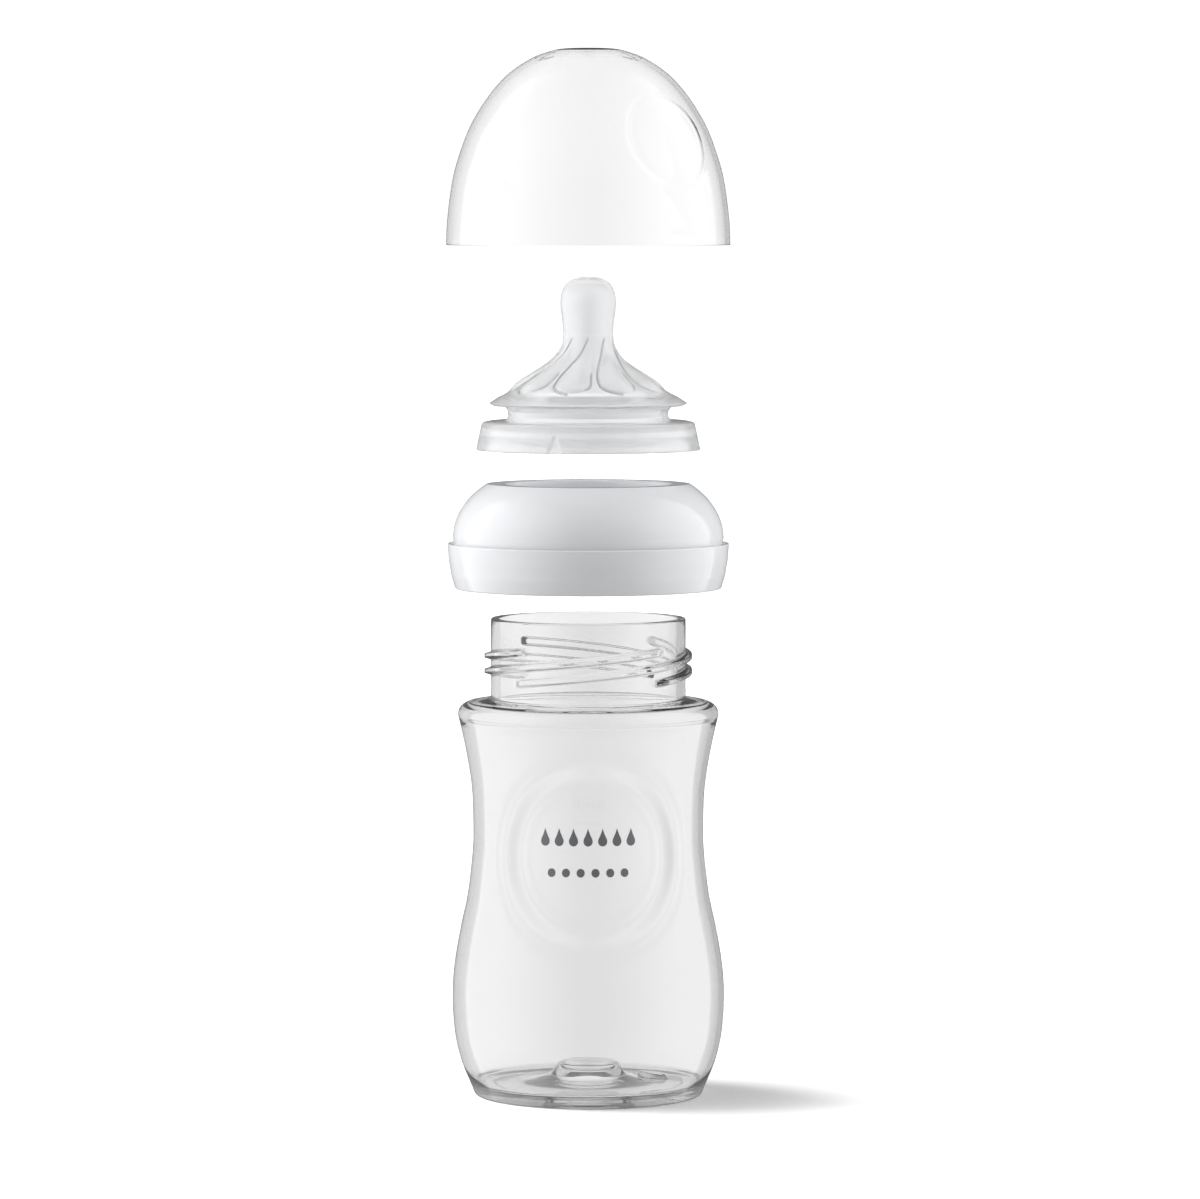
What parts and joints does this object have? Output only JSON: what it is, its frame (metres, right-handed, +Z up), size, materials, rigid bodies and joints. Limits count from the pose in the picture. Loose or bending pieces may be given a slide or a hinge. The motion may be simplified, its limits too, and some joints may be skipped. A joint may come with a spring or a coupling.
{
  "type": "baby bottle",
  "caption": "Clear waisted baby bottle with a white screw ring, a soft petal teat and a clear dome cap, held apart along one axis and sliding together.",
  "frame": {"origin": "centre of the bottle's foot plane", "axes": "+Z up along the common axis of all four pieces, -Y towards the front with the round grip dish"},
  "size_m": [0.07, 0.07, 0.2588],
  "materials": {
    "clear_pp": "clear polypropylene, smooth and glossy",
    "white_pp": "white polypropylene, glossy",
    "silicone": "translucent silicone, satin",
    "print_ink": "grey printed ink on the grip dish, matt"
  },
  "bodies": {
    "bottle": {"bottle": "clear_pp"},
    "ring": {"screw_ring": "white_pp"},
    "teat": {"teat": "silicone"},
    "cap": {"dome_cap": "clear_pp"}
  },
  "joints": [
    {"name": "ring_lift", "type": "slide", "parent": "bottle", "child": "ring", "axis": [0, 0, 1], "range_m": [-0.0275, 0]},
    {"name": "teat_lift", "type": "slide", "parent": "ring", "child": "teat", "axis": [0, 0, 1], "range_m": [-0.0187, 0], "deforming": ["teat"]},
    {"name": "cap_lift", "type": "slide", "parent": "teat", "child": "cap", "axis": [0, 0, 1], "range_m": [-0.0547, 0]}
  ]
}
